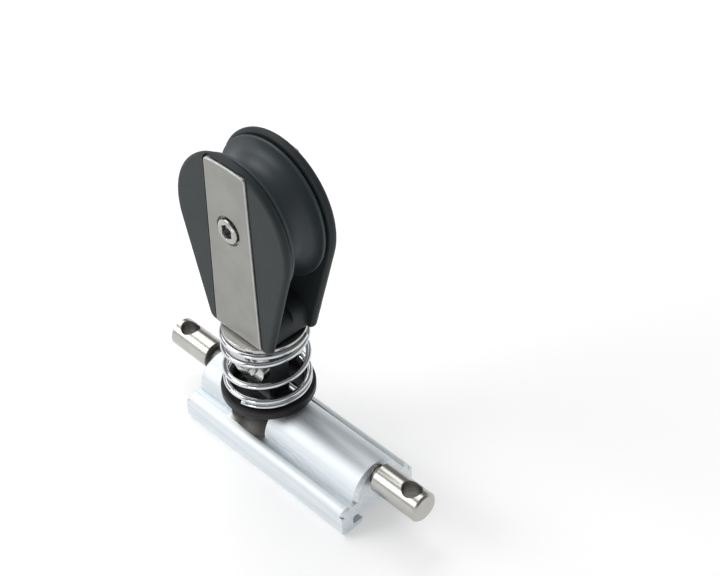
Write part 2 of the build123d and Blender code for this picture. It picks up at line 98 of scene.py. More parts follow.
# Small sizes of the axle screws. The socket ends at a share of its wall's radius
SHANK_LENGTH = 8.0 * MM
FOOT_CHAMFER = 0.1 * MM
MOUTH_STEP = 0.01 * MM
SOCKET_DRAFT = 0.03 * MM
SOCKET_CONE = 0.3 * MM
SOCKET_END = 0.5
LOBES = 6

# Edges sharper than this stay sharp
SHARP_ANGLE = radians(35.0)

# Stretches of a noise: long in the direction with the small number
EVEN = (1.0, 1.0, 1.0)
ALONG_X = (0.02, 1.0, 1.0)
ROUND_Y = (1.0, 0.02, 1.0)

# The parts of a noise's range that are spread over a finish's values and its shades
VALUE_RANGE = (0.3, 0.7)
SHADE_RANGE = (0.35, 0.65)

# A half size that reaches past the whole part, and how deep the strap's face counts as face
BEYOND = 0.1
STRAP_FACE_DEPTH = 0.02 * MM

# The room, in shares of white. Its heights are sines of the elevation
WALL_TOP = 0.0
CEILING = 0.36
CEILING_LIGHT = 0.2
AMBIENT_LIGHT = 0.56
FLOOR_GLOW = 0.26
FLOOR_HALF = 3.0
FLOOR_DROP = 0.02 * MM
FLOOR_ROUGHNESS = 0.9

# Each lamp's name, place, side in metres and power in watts
LAMP_AIM = (0.0, 0.0, 0.05)
LAMPS = (
    ("overhead soft box", (-0.63, 0.14, 1.00), 0.90, 5.7),
    ("left soft box", (-0.64, -0.77, 0.66), 0.62, 4.4),
    ("low front soft box", (0.13, -0.95, 0.02), 0.28, 1.5),
)

# The camera's sensor in millimetres, and how near and far it sees in metres
SENSOR = 36.0
NEAR, FAR = 0.01, 50.0


# Meshes

def ring_mesh(name, rings, close_rows=False):
    """Mesh from rows of closed rings, rings[row, around, xyz].

    Each ring's points are joined to the next row's. With close_rows the last row joins the first,
    and otherwise each end is closed by a fan to the middle of its ring."""
    rows, around = rings.shape[:2]
    points = rings.reshape(-1, 3)
    row = np.arange(rows if close_rows else rows - 1)[:, None]
    step = np.arange(around)[None, :]
    after = (row + 1) % rows
    beside = (step + 1) % around
    corners = (
        row * around + step, row * around + beside, after * around + beside, after * around + step,
    )
    quads = np.stack(corners, axis=-1).reshape(-1, 4)
    faces = quads.tolist()
    if not close_rows:
        ends = np.stack([rings[0].mean(axis=0), rings[-1].mean(axis=0)])
        points = np.vstack([points, ends])
        first = np.arange(around)
        turned = (first + 1) % around
        start = np.stack([np.full(around, rows * around), turned, first], axis=-1)
        last = (rows - 1) * around
        stop = np.stack([np.full(around, rows * around + 1), last + first, last + turned], axis=-1)
        faces += start.tolist() + stop.tolist()
    mesh = bpy.data.meshes.new(name)
    mesh.from_pydata(points.tolist(), [], faces)
    mesh.validate()
    return mesh


def add_piece(name, mesh, material):
    """Object for a finished mesh, shaded smooth but for edges past the sharp angle."""
    mesh.materials.append(material)
    mesh.shade_smooth()
    mesh.set_sharp_from_angle(angle=SHARP_ANGLE)
    piece = bpy.data.objects.new(name, mesh)
    bpy.context.scene.collection.objects.link(piece)
    return piece


def lathe_across(profile, segments, centre_x, centre_z):
    """Rings of a solid turned on an axis across the track.

    profile[k] is (y, radius). Ring k has x = centre_x + radius sin a and
    z = centre_z + radius cos a at angle a."""
    angles = np.arange(segments) * (2 * pi / segments)
    across = np.broadcast_to(profile[:, :1], (len(profile), segments))
    x = centre_x + profile[:, 1:] * np.sin(angles)
    z = centre_z + profile[:, 1:] * np.cos(angles)
    return np.stack([x, across, z], axis=-1)


def rounded_corner(corner, before, after, radius, steps):
    """Arc of one radius that rounds the corner between two straight runs of a profile."""
    corner, before, after = (np.asarray(p, float) for p in (corner, before, after))
    one = (before - corner) / np.linalg.norm(before - corner)
    two = (after - corner) / np.linalg.norm(after - corner)
    half = np.arccos(np.clip(one @ two, -1, 1)) / 2
    middle = (one + two) / np.linalg.norm(one + two)
    centre = corner + middle * radius / np.sin(half)
    start = corner + one * radius / np.tan(half) - centre
    end = corner + two * radius / np.tan(half) - centre
    sweep = np.arccos(np.clip(start @ end / radius**2, -1, 1))
    share = np.linspace(0, 1, steps)[:, None]
    turned = np.sin((1 - share) * sweep) * start + np.sin(share * sweep) * end
    return centre + turned / np.sin(sweep)


# Materials

def calculate(nodes, links, operation, first, second):
    """Math node on a source and a second source or number."""
    node = nodes.new("ShaderNodeMath")
    node.operation = operation
    links.new(first, node.inputs[0])
    if isinstance(second, float):
        node.inputs[1].default_value = second
    else:
        links.new(second, node.inputs[1])
    return node.outputs[0]


class Finish:
    """One material, whose nodes are added and linked one at a time."""

    def __init__(self, name):
        self.material = bpy.data.materials.new(name)
        self.material.use_nodes = True
        self.nodes = self.material.node_tree.nodes
        self.links = self.material.node_tree.links
        self.shader = self.nodes["Principled BSDF"]
        self.place = self.nodes.new("ShaderNodeTexCoord")

    def set(self, **values):
        for key, value in values.items():
            self.shader.inputs[key.replace("_", " ")].default_value = value
        return self

    def noise(self, scale, stretch=EVEN, detail=3.0):
        """Noise on the piece's own coordinates, stretched by a Mapping node.

        The scale counts its cells in a metre."""
        mapping = self.nodes.new("ShaderNodeMapping")
        mapping.inputs["Scale"].default_value = stretch
        self.links.new(self.place.outputs["Object"], mapping.inputs["Vector"])
        texture = self.nodes.new("ShaderNodeTexNoise")
        texture.inputs["Scale"].default_value = scale
        texture.inputs["Detail"].default_value = detail
        self.links.new(mapping.outputs["Vector"], texture.inputs["Vector"])
        return texture.outputs["Fac"]

    def span(self, source, low, high):
        """Spreads the middle of a noise's range over a range of values."""
        node = self.nodes.new("ShaderNodeMapRange")
        ends = zip(("From Min", "From Max", "To Min", "To Max"), (*VALUE_RANGE, low, high))
        for socket, value in ends:
            node.inputs[socket].default_value = value
        self.links.new(source, node.inputs["Value"])
        return node.outputs["Result"]

    def ramp(self, source, first, second):
        """Colour that wanders between two shades."""
        ramp = self.nodes.new("ShaderNodeValToRGB")
        for stop, place, shown in zip(ramp.color_ramp.elements, SHADE_RANGE, (first, second)):
            stop.position = place
            stop.color = (*shown, 1.0)
        self.links.new(source, ramp.inputs["Fac"])
        return ramp.outputs["Color"]

    def mix(self, factor, first, second, kind="FLOAT"):
        """First source where the factor is 0 and second where it is 1."""
        node = self.nodes.new("ShaderNodeMix")
        node.data_type = kind
        ports = [port for port in node.inputs if port.enabled]
        for source, port in zip((factor, first, second), ports):
            self.links.new(source, port)
        return next(port for port in node.outputs if port.enabled)

    def vector(self, operation, source, value=None, output="Vector"):
        """Vector Math node on a source and, where it takes one, a constant."""
        node = self.nodes.new("ShaderNodeVectorMath")
        node.operation = operation
        self.links.new(source, node.inputs[0])
        if value is not None:
            node.inputs[1].default_value = value
        return node.outputs[output]

    def calculate(self, operation, first, second):
        return calculate(self.nodes, self.links, operation, first, second)

    def inside(self, middle, half):
        """1 inside a box on the piece's own coordinates, given by its middle and half sizes."""
        offset = self.vector("SUBTRACT", self.place.outputs["Object"], middle)
        split = self.nodes.new("ShaderNodeSeparateXYZ")
        self.links.new(self.vector("ABSOLUTE", offset), split.inputs["Vector"])
        x, y, z = (
            self.calculate("LESS_THAN", split.outputs[axis], float(limit))
            for axis, limit in zip("XYZ", half)
        )
        return self.calculate("MULTIPLY", self.calculate("MULTIPLY", x, y), z)

    def within_pins_hole(self):
        """1 inside the upright cross hole of either eye pin.

        There the distance of (|x|, |y|) from the hole's place is less than its radius."""
        size = self.vector("ABSOLUTE", self.place.outputs["Object"])
        flat = self.vector("MULTIPLY", size, (1.0, 1.0, 0.0))
        away = self.vector("DISTANCE", flat, (EYE_HOLE_X, 0.0, 0.0), output="Value")
        return self.calculate("LESS_THAN", away, EYE_HOLE_RADIUS)

    def either(self, first, second):
        """The larger of two masks."""
        return self.calculate("MAXIMUM", first, second)

    def link(self, source, socket):
        self.links.new(source, self.shader.inputs[socket])
        return self

    def roughness(self, source, low, high):
        return self.link(self.span(source, low, high), "Roughness")

    def colours(self, source, first, second):
        return self.link(self.ramp(source, first, second), "Base Color")

    def relief(self, source, depth):
        """Bump of a real depth in metres, on top of any relief given before."""
        bump = self.nodes.new("ShaderNodeBump")
        bump.inputs["Distance"].default_value = depth
        bump.inputs["Strength"].default_value = 1.0
        self.links.new(source, bump.inputs["Height"])
        normal = self.shader.inputs["Normal"]
        if normal.is_linked:
            self.links.new(normal.links[0].from_socket, bump.inputs["Normal"])
        self.links.new(bump.outputs["Normal"], normal)
        return self


def shade(colour, factor):
    """The colour times a factor, white at most."""
    return tuple(min(1.0, channel * factor) for channel in colour)


def anodised_finish(colour, milled):
    """Satin clear anodising: a blasted grain over faint lines along the extrusion.

    The seat milled across the spine is smoother, with marks across the track."""
    finish = Finish("satin anodised aluminium").set(Metallic=1.0)
    seat = finish.inside((BLOCK_X, 0.0, SEAT_MIDDLE), SEAT_HALF)
    grain = finish.noise(2400.0)
    lines = finish.noise(900.0, stretch=ALONG_X)
    cutter = finish.noise(1400.0, stretch=(1.0, 0.04, 1.0))
    skin = finish.ramp(lines, shade(colour, 0.92), shade(colour, 1.05))
    cut = finish.ramp(cutter, shade(milled, 0.96), shade(milled, 1.04))
    finish.link(finish.mix(seat, skin, cut, "RGBA"), "Base Color")
    satin = finish.span(lines, low=0.5, high=0.57)
    smooth = finish.span(cutter, low=0.3, high=0.36)
    finish.link(finish.mix(seat, satin, smooth), "Roughness")
    finish.relief(lines, depth=0.0015 * MM)
    finish.relief(grain, depth=0.014 * MM)
    return finish.material


def turned_steel_finish(name, colour, low, high, stretch):
    """Polished steel whose gloss wanders along fine turning or drawing marks."""
    finish = Finish(name).set(Metallic=1.0)
    marks = finish.noise(2600.0, stretch=stretch)
    smear = finish.noise(90.0, detail=2.0)
    finish.colours(smear, shade(colour, 0.96), shade(colour, 1.03))
    finish.roughness(marks, low, high)
    return finish.material


def eye_pin_finish(colour, bore):
    """Bright drawn bar with streaks along the pin.

    Its colour is darkened in the cross hole and on the neck by the body as painted shade; the
    rougher drill marks there are the wall's own."""
    finish = Finish("drawn eye pin steel").set(Metallic=1.0)
    streaks = finish.noise(3000.0, stretch=(0.006, 1.0, 1.0), detail=2.0)
    smear = finish.noise(110.0, detail=2.0)
    # Painted shade: the neck by the body and the cross hole take the darker hole colour
    neck = finish.inside((0.0, 0.0, 0.0), (PIN_SHOULDER, BEYOND, BEYOND))
    shaded_hole_and_neck = finish.either(finish.within_pins_hole(), neck)
    drill_marks = finish.noise(2600.0, stretch=(0.05, 0.05, 1.0))
    skin = finish.ramp(smear, shade(colour, 0.95), shade(colour, 1.04))
    # Painted shade colour for the hole and the neck, varied by the drill marks
    wall = finish.ramp(drill_marks, shade(bore, 0.7), shade(bore, 1.3))
    finish.link(finish.mix(shaded_hole_and_neck, skin, wall, "RGBA"), "Base Color")
    polished = finish.span(streaks, low=0.22, high=0.28)
    rough = finish.span(drill_marks, low=0.4, high=0.5)
    finish.link(finish.mix(shaded_hole_and_neck, polished, rough), "Roughness")
    return finish.material


def strap_finish(colour, edges):
    """Satin stainless strap: a fine blasted grain over faint rolling lines, with a cloudy tone.

    Its edges get a lighter colour: a painted highlight where they catch the light."""
    finish = Finish("satin stainless strap").set(Metallic=1.0)
    rolled = finish.noise(2400.0, stretch=(1.0, 1.0, 0.015), detail=4.0)
    grain = finish.noise(2800.0, detail=2.0)
    smear = finish.noise(95.0)
    edge = finish.inside(
        (BLOCK_X, 0.0, AXLE_HEIGHT), (BEYOND, STRAP_FACE - STRAP_FACE_DEPTH, BEYOND)
    )
    face = finish.ramp(smear, shade(colour, 0.94), shade(colour, 1.06))
    # Painted highlight: lighter colour on the strap's edges where they catch the light
    painted_edge_highlight = finish.ramp(smear, shade(edges, 0.94), shade(edges, 1.06))
    finish.link(finish.mix(edge, face, painted_edge_highlight, "RGBA"), "Base Color")
    satin = finish.span(grain, low=0.27, high=0.4)
    rough = finish.span(grain, low=0.5, high=0.6)
    finish.link(finish.mix(edge, satin, rough), "Roughness")
    finish.relief(rolled, depth=0.0004 * MM)
    finish.relief(grain, depth=0.0035 * MM)
    return finish.material


def moulding_finish(name, colour, low, high, grain, depth):
    """Moulded plastic: spark-eroded grain with a slight change of tone and gloss."""
    finish = Finish(name).set(Specular_IOR_Level=0.3)
    fine = finish.noise(grain)
    broad = finish.noise(45.0, detail=2.0)
    finish.colours(broad, shade(colour, 0.92), shade(colour, 1.08))
    finish.roughness(fine, low, high)
    finish.relief(fine, depth)
    return finish.material


def sheave_finish(colour):
    """Smooth moulding with faint rings round the axle."""
    finish = Finish("smooth charcoal moulding").set(Specular_IOR_Level=0.5)
    rings = finish.noise(1500.0, stretch=(0.02, 1.0, 0.02))
    fine = finish.noise(3000.0, detail=2.0)
    broad = finish.noise(45.0, detail=2.0)
    finish.colours(broad, shade(colour, 0.93), shade(colour, 1.07))
    finish.roughness(rings, low=0.42, high=0.52)
    finish.relief(fine, depth=0.004 * MM)
    return finish.material


def screw_finish(settings, top):
    """Polished head with painted shade: its colour is darker on its side and in its socket, below
    the dome's height.
    """
    finish = Finish("polished screw steel").set(Metallic=1.0)
    marks = finish.noise(1800.0, stretch=ROUND_Y, detail=2.0)
    half = (settings.head * 2, top - settings.mouth, settings.head * 2)
    below = finish.inside((BLOCK_X, 0.0, AXLE_HEIGHT), half)
    bright = finish.ramp(marks, shade(settings.colour, 0.95), shade(settings.colour, 1.05))
    # Painted shade on the head's side and in its socket
    painted_socket_shade = finish.ramp(marks, shade(settings.inner, 0.6), shade(settings.inner, 1.4))
    finish.link(finish.mix(below, bright, painted_socket_shade, "RGBA"), "Base Color")
    finish.roughness(marks, low=0.16, high=0.24)
    return finish.material


# Settings

def length(name, description, default):
    return bpy.props.FloatProperty(
        name=name, description=description, default=default, unit="LENGTH", precision=5
    )


def angle(name, description, degrees):
    return bpy.props.FloatProperty(
        name=name, description=description, default=radians(degrees), subtype="ANGLE"
    )


def turns(name, description, default):
    return bpy.props.FloatProperty(
        name=name, description=description, default=default, subtype="UNSIGNED"
    )


def colour(name, description, default):
    return bpy.props.FloatVectorProperty(
        name=name, description=description, default=default,
        subtype="COLOR", size=3, min=0.0, max=1.0,
    )


class SpringSettings(bpy.types.PropertyGroup):
    wire: length("Wire", "Diameter of the spring's wire", 2.3 * MM)
    clearance: length("End clearance", "Gap between the spring's ends and its seats", 0.05 * MM)
    closed_below: turns("Closed turns below", "Turns that lie on each other on the ring", 1.45)
    open_turns: turns("Open turns", "Turns with the open pitch", 1.85)
    closed_above: turns("Closed turns above", "Turns that lie on each other under the disc", 1.0)
    start: angle("Start", "Where the wire begins, from the track's direction round the axis", 281.0)
    colour: colour("Colour", "Bright polished wire", (0.66, 0.68, 0.70))


class SheaveSettings(bpy.types.PropertyGroup):
    groove_root: length("Groove root", "Radius at the bottom of the rope groove", 20.6 * MM)
    rim: length("Rim", "Flat at the edge of each flange", 1.4 * MM)
    edge: length("Edge round", "Radius of the flanges' edges", 0.5 * MM)
    bore: length("Bore", "Radius of the bore for the bush", 9.5 * MM)
    colour: colour("Colour", "Smooth charcoal moulding", (0.034, 0.045, 0.051))


class ScrewSettings(bpy.types.PropertyGroup):
    head: length("Head", "Radius of the domed head", 5.0 * MM)
    foot: length("Foot", "From the strap's face down to the head's underside", 1.45 * MM)
    proud: length("Proud", "Height of the head's edge above the strap", 0.9 * MM)
    edge: length("Edge round", "Radius of the head's rounded edge", 0.65 * MM)
    crown: length("Crown", "Rise of the dome above that edge", 0.3 * MM)
    socket: length("Socket", "Mean radius of the six-lobed socket", 2.6 * MM)
    lobe: length("Lobe", "Swing of the socket's lobes about its mean radius", 0.2 * MM)
    mouth: length("Mouth round", "Radius of the socket's rounded mouth", 0.75 * MM)
    depth: length("Socket depth", "Depth of the socket", 2.0 * MM)
    shank: length("Shank", "Radius of the shank in the axle", 4.0 * MM)
    colour: colour("Colour", "Polished head", (0.42, 0.42, 0.405))
    # Painted shade: darker colour for the socket's wall and the side of the head
    inner: colour("Inner colour", "Socket's wall and side of the head", (0.30, 0.31, 0.32))


class FinishSettings(bpy.types.PropertyGroup):
    body: colour("Body", "Satin anodised aluminium", (0.765, 0.81, 0.84))
    milled: colour("Milled seat", "Milled seat under the ring", (0.78, 0.76, 0.73))
    pins: colour("Pins", "Polished stainless", (0.49, 0.485, 0.46))
    # Painted shade: darker colour for the pins' cross holes and for the neck by the body
    bore: colour("Cross holes", "Drilled wall of the pins' holes", (0.22, 0.21, 0.195))
    strap: colour("Strap", "Satin stainless strap", (0.28, 0.28, 0.265))
    # Painted highlight: lighter colour for the strap's edges
    strap_edge_highlight: colour("Strap edges", "Ground edges of the strap", (0.50, 0.51, 0.50))
    fork: colour("Fork", "Polished fork", (0.52, 0.51, 0.495))
    # Painted shade: the toggle is near-black, standing in for the shade inside the fork under the
    # ring
    toggle: colour("Toggle", "Black coated forging", (0.022, 0.024, 0.026))
    cheeks: colour("Cheeks", "Charcoal moulding", (0.0195, 0.0250, 0.0270))
    ring: colour("Ring", "Black moulding under the spring", (0.012, 0.012, 0.013))
    bearing: colour("Bearings", "Natural acetal", (0.78, 0.76, 0.70))
    hidden: colour("Inner steel", "Turned pins, clips and screws inside", (0.55, 0.55, 0.55))


class StageSettings(bpy.types.PropertyGroup):
    azimuth: angle("Azimuth", "Camera's direction round the car, from across the track", 45.821)
    elevation: angle("Elevation", "Camera's height above the horizon", 39.996)
    roll: angle("Roll", "Camera's turn about its own line of sight", -0.974)
    distance: length("Distance", "From the aim to the camera", 0.62986)
    aim: bpy.props.FloatVectorProperty(
        name="Aim", description="Point on the floor that the camera looks at",
        default=(-0.05290, 0.08783, 0.0), subtype="TRANSLATION", size=3,
    )
    lens: bpy.props.FloatProperty(
        name="Lens", description="Focal length on a 36 mm sensor", default=69.55, unit="CAMERA"
    )
    floor: colour("Floor", "Plain pale floor", (0.80, 0.80, 0.80))


# Operators

class GENOACAR_OT_spring(bpy.types.Operator):
    """Stand-up spring, cut into two halves where the toggle carries it"""

    bl_idname = "genoa_car.spring"
    bl_label = "Stand-up Spring"

    def execute(self, context):
        settings = context.scene.genoa_spring
        wire = settings.wire / 2
        radius = (SPRING_HIGH.x - SPRING_LOW.x) / 2 - wire
        samples, height = spring_heights(settings, wire)
        turn = settings.start + samples * 2 * pi
        x = BLOCK_X + radius * np.cos(turn)
        y = radius * np.sin(turn)
        centre = np.stack([x, y, height], axis=-1)
        cut = int(np.argmin(abs(height - SPRING_CUT)))
        below_cut, above_cut = SPRING_CUT - BEND_MARGIN, SPRING_CUT + BEND_MARGIN
        material = turned_steel_finish(
            "bright spring wire", tuple(settings.colour), low=0.07, high=0.1, stretch=EVEN
        )
        lower, upper = slice(0, cut + 1), slice(cut, None)
        halves = (
            ("spring_lower_half", lower, "car", "toggle_link", SEAT_TOP, below_cut),
            ("spring_upper_half", upper, "toggle_link", "block", above_cut, PLATE_BOTTOM),
        )
        for name, part, below, above, start, end in halves:
            mesh = ring_mesh(name, wire_rings(centre, part, wire))
            piece = add_piece(name, mesh, material)
            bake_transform(piece)
            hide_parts("stand_up_spring")
        return {"FINISHED"}


def spring_heights(settings, wire):
    """Turns wound at each sample of the wire, and the height of its middle there.

    The height climbs by one pitch a turn, small where the turns are closed and large where they are
    open, and the change between the two is eased with a bell-shaped running mean."""
    bottom = SEAT_TOP + wire + settings.clearance
    top = PLATE_BOTTOM - wire - settings.clearance
    closed_pitch = settings.wire + 2 * settings.clearance
    closed = settings.closed_below + settings.closed_above
    open_pitch = (top - bottom - closed * closed_pitch) / settings.open_turns
    lengths = np.array([0.0, settings.closed_below, settings.open_turns, settings.closed_above])
    pitches = np.array([0.0, closed_pitch, open_pitch, closed_pitch])
    ends = np.cumsum(lengths)
    rises = np.cumsum(lengths * pitches)
    samples = np.linspace(0, ends[-1], SPRING_SAMPLES)
    height = bottom + np.interp(samples, ends, rises)
    kernel = np.hanning(2 * PITCH_EASING + 1)
    before = height[0] + (height[1] - height[0]) * np.arange(-PITCH_EASING, 0)
    after = height[-1] + (height[-1] - height[-2]) * np.arange(1, PITCH_EASING + 1)
    padded = np.concatenate([before, height, after])
    return samples, np.convolve(padded, kernel / kernel.sum(), mode="valid")


def wire_rings(centre, part, radius):
    """Rings of a round wire along a part of a line of centres.

    The ring at each centre lies square to the line. Its first direction points outward, away from
    the spring's axis, and its second is square to that and to the line. Both ends are cut flat."""
    line = centre[part]
    along = np.gradient(centre, axis=0)[part]
    along /= np.linalg.norm(along, axis=1, keepdims=True)
    outward = line - np.array([BLOCK_X, 0, 0])
    outward[:, 2] = 0
    outward -= along * (outward * along).sum(axis=1, keepdims=True)
    outward /= np.linalg.norm(outward, axis=1, keepdims=True)
    second = np.cross(along, outward)
    angles = np.arange(WIRE_AROUND) * (2 * pi / WIRE_AROUND)
    cosine, sine = np.cos(angles)[None, :, None], np.sin(angles)[None, :, None]
    return line[:, None] + radius * (outward[:, None] * cosine + second[:, None] * sine)


class GENOACAR_OT_sheave(bpy.types.Operator):
    """Sheave turned from one profile: round rope groove, rounded flanges and a bore for its bush"""

    bl_idname = "genoa_car.sheave"
    bl_label = "Sheave"

    def execute(self, context):
        settings = context.scene.genoa_sheave
        rings = lathe_across(sheave_profile(settings), SHEAVE_AROUND, BLOCK_X, AXLE_HEIGHT)
        mesh = ring_mesh("rope_sheave", rings, close_rows=True)
        piece = add_piece("rope_sheave", mesh, sheave_finish(tuple(settings.colour)))
        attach(piece, "rolling_sheave")
        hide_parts("sheave")
        return {"FINISHED"}


def sheave_profile(settings):
    """Closed outline of the sheave's section, as (y, radius).

    The groove is the arc of a circle that passes through both lips and touches the groove's root.
    Its radius is (lip squared + rise squared) / (2 rise), for lips at y = -lip and y = lip and a
    rise from root to lip."""
    outer = (SHEAVE_HIGH.z - SHEAVE_LOW.z) / 2
    half = (SHEAVE_HIGH.y - SHEAVE_LOW.y) / 2
    lip = half - settings.rim
    rise = outer - settings.groove_root
    groove = (lip**2 + rise**2) / (2 * rise)
    swing = np.arcsin(lip / groove)
    turn = np.linspace(-swing, swing, GROOVE_POINTS)
    radii = settings.groove_root + groove - groove * np.cos(turn)
    arc = np.stack([groove * np.sin(turn), radii], axis=-1)
    bore, corner, tip = (-half, settings.bore), (-half, outer), (-lip, outer)
    edge = rounded_corner(corner, bore, tip, settings.edge, EDGE_POINTS)
    mouth = rounded_corner(tip, corner, arc[GROOVE_TRIM], settings.edge / 2, SMALL_EDGE_POINTS)
    bore_edge = rounded_corner(
        bore, corner, (half, settings.bore), settings.edge, SMALL_EDGE_POINTS
    )[::-1]
    left = np.vstack([bore_edge, edge, mouth])
    right = (left * (-1, 1))[::-1]
    return np.vstack([left, arc[GROOVE_TRIM:-GROOVE_TRIM], right])


class GENOACAR_OT_screws(bpy.types.Operator):
    """Domed screws with six-lobed sockets that close the axle's two ends"""

    bl_idname = "genoa_car.screws"
    bl_label = "Axle Screws"

    def execute(self, context):
        settings = context.scene.genoa_screws
        top = STRAP_FACE + settings.proud + settings.crown
        material = screw_finish(settings, top)
        for side, name in ((-1, "near_axle_screw"), (1, "far_axle_screw")):
            mesh = ring_mesh(f"{name}_head", screw_rings(settings, side, top))
            piece = add_piece(f"{name}_head", mesh, material)
            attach(piece, "block")
            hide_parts(name)
        return {"FINISHED"}


def screw_rings(settings, side, top):
    """Rings of a screw from its shank's end over the domed head and down into the socket.

    At angle a the wall of the socket is its mean radius plus the lobe's swing times cos 6a away
    from the axis, and the rings of shank, edge and crown are round. The head's edge and the
    socket's mouth are quarter circles. The crown between them falls off as a parabola."""
    angles = np.arange(SCREW_AROUND) * (2 * pi / SCREW_AROUND)
    wall = settings.socket + settings.lobe * np.cos(LOBES * angles)
    foot = STRAP_FACE - settings.foot
    rim = STRAP_FACE + settings.proud
    head, edge, mouth = settings.head, settings.edge, settings.mouth
    quarter = np.linspace(0, pi / 2, QUARTER_POINTS)
    profile = [
        (settings.shank, foot - SHANK_LENGTH), (settings.shank, foot),
        (head - FOOT_CHAMFER, foot), (head, foot + FOOT_CHAMFER),
    ]
    profile += [(head - edge * (1 - cos(turn)), rim - edge * (1 - sin(turn))) for turn in quarter]
    brow = settings.socket + settings.lobe + mouth
    for share in np.linspace(1.0, 0.0, CROWN_POINTS)[1:]:
        height = rim + settings.crown * (1 - share**2)
        profile.append((brow + share * (head - edge - brow), height))
    radii = [np.full(SCREW_AROUND, radius) for radius, height in profile]
    heights = [height for radius, height in profile]
    for turn in quarter:
        radii.append(wall + mouth * (1 - sin(turn)))
        heights.append(top - mouth * (1 - cos(turn)) - MOUTH_STEP)
    radii += [wall - SOCKET_DRAFT, wall * SOCKET_END]
    heights += [top - settings.depth, top - settings.depth - SOCKET_CONE]
    radii, heights = np.stack(radii), np.array(heights)[:, None]
    x = BLOCK_X + side * radii * np.sin(angles)
    z = AXLE_HEIGHT + radii * np.cos(angles)
    return np.stack([x, np.broadcast_to(side * heights, x.shape), z], axis=-1)


class GENOACAR_OT_finishes(bpy.types.Operator):
    """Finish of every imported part, also of those that a built piece replaces"""

    bl_idname = "genoa_car.finishes"
    bl_label = "Finishes"

    def execute(self, context):
        settings = context.scene.genoa_finish
        body = anodised_finish(tuple(settings.body), tuple(settings.milled))
        pins = eye_pin_finish(tuple(settings.pins), tuple(settings.bore))
        ring = moulding_finish(
            "black moulding", tuple(settings.ring),
            low=0.38, high=0.5, grain=3000.0, depth=0.006 * MM,
        )
        fork = turned_steel_finish(
            "polished toggle steel", tuple(settings.fork),
            low=0.12, high=0.15, stretch=(0.05, 1.0, 1.0),
        )
        # Painted shade: near-black toggle for the shade inside the fork under the ring
        toggle = moulding_finish(
            "black toggle painted shade", tuple(settings.toggle),
            low=0.3, high=0.4, grain=2200.0, depth=0.004 * MM,
        )
        strap = strap_finish(tuple(settings.strap), tuple(settings.strap_edge_highlight))
        cheeks = moulding_finish(
            "grained charcoal moulding", tuple(settings.cheeks),
            low=0.46, high=0.58, grain=2400.0, depth=0.03 * MM,
        )
        screws = turned_steel_finish(
            "turned screw steel", tuple(settings.fork), low=0.1, high=0.2, stretch=ROUND_Y
        )
        hidden = turned_steel_finish(
            "turned inner steel", tuple(settings.hidden),
            low=0.2, high=0.3, stretch=(1.0, 0.02, 0.02),
        )
        bearing = moulding_finish(
            "natural acetal", tuple(settings.bearing),
            low=0.35, high=0.45, grain=2500.0, depth=0.003 * MM,
        )
        dress = {
            body: ("car_body",),
            pins: ("front_eye_pin", "rear_eye_pin"),
            ring: ("spring_seat",),
            fork: ("fork", "spring_top_plate"),
            toggle: ("toggle",),
            strap: ("strap",),
            cheeks: ("near_cheek", "far_cheek"),
            screws: ("near_axle_screw", "far_axle_screw"),
            hidden: (
                "pivot_pin", "fork_pin", "near_circlip", "far_circlip", "head_screw", "head_nut",
                "axle", "front_cheek_screw", "rear_cheek_screw", "stand_up_spring",
            ),
            bearing: (
                "pivot_bush", "fork_bush", "near_thrust_washer", "far_thrust_washer",
                "sheave_bush", "sheave",
            ),
        }
        for material, names in dress.items():
            for name in names:
                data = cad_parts[name].data
                data.materials.clear()
                data.materials.append(material)
        return {"FINISHED"}


class GENOACAR_OT_stage(bpy.types.Operator):
    """Camera, plain pale floor and soft studio light"""

    bl_idname = "genoa_car.stage"
    bl_label = "Stage"

    def execute(self, context):
        settings = context.scene.genoa_stage
        scene = context.scene
        scene.view_settings.view_transform = "Standard"
        add_camera(scene, settings)
        add_floor(tuple(settings.floor))
        add_world(scene)
        for name, place, size, power in LAMPS:
            soft_box(name, place, size, power)
        return {"FINISHED"}


def add_camera(scene, settings):
    """Camera that looks at the aim from the photograph's side."""
    camera = bpy.data.objects.new("camera", bpy.data.cameras.new("camera"))
    scene.collection.objects.link(camera)
    az, el = settings.azimuth, settings.elevation
    back = Vector((sin(az) * cos(el), -cos(az) * cos(el), sin(el)))
    right = (-back).cross(Vector((0, 0, 1))).normalized()
    up = back.cross(right)
    turn = Matrix.Rotation(settings.roll, 3, "Z")
    axes = Matrix((right, up, back)).transposed() @ turn
    place = Matrix.Translation(Vector(settings.aim) + back * settings.distance)
    camera.matrix_world = place @ axes.to_4x4()
    camera.data.sensor_width = SENSOR
    camera.data.lens = settings.lens
    camera.data.clip_start = NEAR
    camera.data.clip_end = FAR
    scene.camera = camera


def seen_by(nodes, links, *rays):
    """1 for a ray of one of these kinds, and 0 for light on a surface."""
    path = nodes.new("ShaderNodeLightPath")
    total = path.outputs[rays[0]]
    for other in rays[1:]:
        total = calculate(nodes, links, "MAXIMUM", total, path.outputs[other])
    return total


